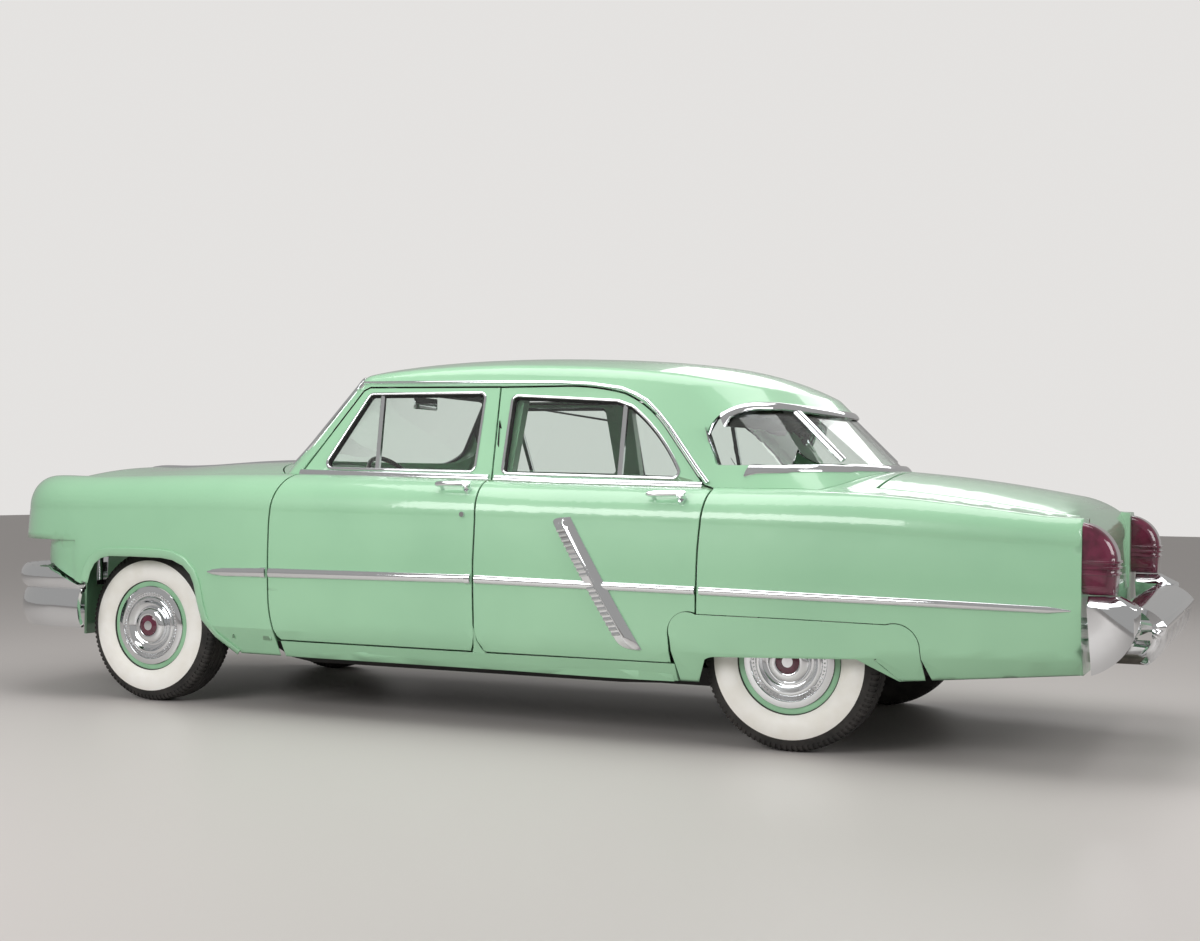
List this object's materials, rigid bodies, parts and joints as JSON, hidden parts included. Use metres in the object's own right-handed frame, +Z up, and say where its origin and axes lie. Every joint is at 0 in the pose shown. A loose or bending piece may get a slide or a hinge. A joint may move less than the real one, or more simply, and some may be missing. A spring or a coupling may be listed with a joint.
{
  "type": "four-door sedan",
  "caption": "Full-size 1950s four-door sedan with curved body panels, skirted rear wheels, opening doors, hood and trunk lid, steered front wheels and bright trim.",
  "frame": {"origin": "on the ground under the middle of the car's overall box", "axes": "+X runs from front to rear, so the front faces -X, +Y is the car's right side and +Z is up"},
  "size_m": [5.438, 1.956, 1.6199],
  "materials": {
    "body_paint": "pale mint green enamel, glossy",
    "wheel_paint": "pale green enamel",
    "window_glass": "clear, faint green",
    "lamp_glass": "clear ribbed lens",
    "red_lens": "deep red, glossy",
    "bright_chrome": "polished plate",
    "chassis_steel": "black, satin",
    "engine_iron": "painted casting",
    "tyre_rubber": "black rubber with a white side band",
    "dark_plastic": "dark brown moulding",
    "seat_cloth": "two-tone green cloth"
  },
  "bodies": {
    "body": {"windscreen": "window_glass", "backlight": "window_glass", "roof": "body_paint", "fender_skirts": "body_paint", "deck_panel": "body_paint", "rear_panel": "body_paint", "nose_panel": "body_paint", "cowl": "body_paint", "centre_pillars": "body_paint", "floor_pan": "chassis_steel", "chassis_frame": "chassis_steel", "front_suspension": "chassis_steel", "rear_axle": "chassis_steel", "engine": "engine_iron", "radiator": "chassis_steel", "exhaust": "chassis_steel", "front_bumper": "bright_chrome", "rear_bumper": "bright_chrome", "grille": "bright_chrome", "headlamps": "lamp_glass", "tail_lamps": "red_lens", "instrument_panel": "body_paint", "steering_wheel": "dark_plastic", "front_seat": "seat_cloth", "rear_seat": "seat_cloth", "inner_panels": "body_paint", "front_fender_left": "body_paint", "front_fender_right": "body_paint", "rear_quarter_left": "body_paint", "rear_quarter_right": "body_paint"},
    "front_door_left_body": {"front_door_left": "body_paint", "front_door_glass_left": "window_glass"},
    "rear_door_left_body": {"rear_door_left": "body_paint", "rear_door_glass_left": "window_glass"},
    "knuckle_left_body": {"knuckle_left": "chassis_steel"},
    "front_wheel_left_body": {"wheel_front_left": "wheel_paint", "tyre_front_left": "tyre_rubber"},
    "rear_wheel_left_body": {"wheel_rear_left": "wheel_paint", "tyre_rear_left": "tyre_rubber"},
    "front_door_right_body": {"front_door_right": "body_paint", "front_door_glass_right": "window_glass"},
    "rear_door_right_body": {"rear_door_right": "body_paint", "rear_door_glass_right": "window_glass"},
    "knuckle_right_body": {"knuckle_right": "chassis_steel"},
    "front_wheel_right_body": {"wheel_front_right": "wheel_paint", "tyre_front_right": "tyre_rubber"},
    "rear_wheel_right_body": {"wheel_rear_right": "wheel_paint", "tyre_rear_right": "tyre_rubber"},
    "hood_body": {"hood": "body_paint"},
    "trunk_lid_body": {"trunk_lid": "body_paint"}
  },
  "joints": [
    {"name": "steer_left", "type": "hinge", "parent": "body", "child": "knuckle_left_body", "pos_m": [-1.79, -0.648, 0.355], "axis": [0, 0, 1], "range_deg": [-32, 32]},
    {"name": "front_wheel_left_spin", "type": "hinge", "parent": "knuckle_left_body", "child": "front_wheel_left_body", "pos_m": [-1.79, -0.743, 0.355], "axis": [0, 1, 0], "continuous": true},
    {"name": "rear_wheel_left_spin", "type": "hinge", "parent": "body", "child": "rear_wheel_left_body", "pos_m": [1.334, -0.743, 0.355], "axis": [0, 1, 0], "continuous": true},
    {"name": "front_door_left_hinge", "type": "hinge", "parent": "body", "child": "front_door_left_body", "pos_m": [-0.988, -0.95, 0.68], "axis": [0, 0, -1], "range_deg": [0, 68]},
    {"name": "rear_door_left_hinge", "type": "hinge", "parent": "body", "child": "rear_door_left_body", "pos_m": [0.048, -0.95, 0.68], "axis": [0, 0, -1], "range_deg": [0, 68]},
    {"name": "steer_right", "type": "hinge", "parent": "body", "child": "knuckle_right_body", "pos_m": [-1.79, 0.648, 0.355], "axis": [0, 0, 1], "range_deg": [-32, 32]},
    {"name": "front_wheel_right_spin", "type": "hinge", "parent": "knuckle_right_body", "child": "front_wheel_right_body", "pos_m": [-1.79, 0.743, 0.355], "axis": [0, 1, 0], "continuous": true},
    {"name": "rear_wheel_right_spin", "type": "hinge", "parent": "body", "child": "rear_wheel_right_body", "pos_m": [1.334, 0.743, 0.355], "axis": [0, 1, 0], "continuous": true},
    {"name": "front_door_right_hinge", "type": "hinge", "parent": "body", "child": "front_door_right_body", "pos_m": [-0.988, 0.95, 0.68], "axis": [0, 0, 1], "range_deg": [0, 68]},
    {"name": "rear_door_right_hinge", "type": "hinge", "parent": "body", "child": "rear_door_right_body", "pos_m": [0.048, 0.95, 0.68], "axis": [0, 0, 1], "range_deg": [0, 68]},
    {"name": "hood_hinge", "type": "hinge", "parent": "body", "child": "hood_body", "pos_m": [-1.211, 0, 1.071], "axis": [0, 1, 0], "range_deg": [0, 45]},
    {"name": "trunk_lid_hinge", "type": "hinge", "parent": "body", "child": "trunk_lid_body", "pos_m": [1.65, 0, 1.0945], "axis": [0, -1, 0], "range_deg": [0, 55]}
  ],
  "couplings": [
    {"joint": "steer_right", "follows": "steer_left", "ratio": 1}
  ]
}
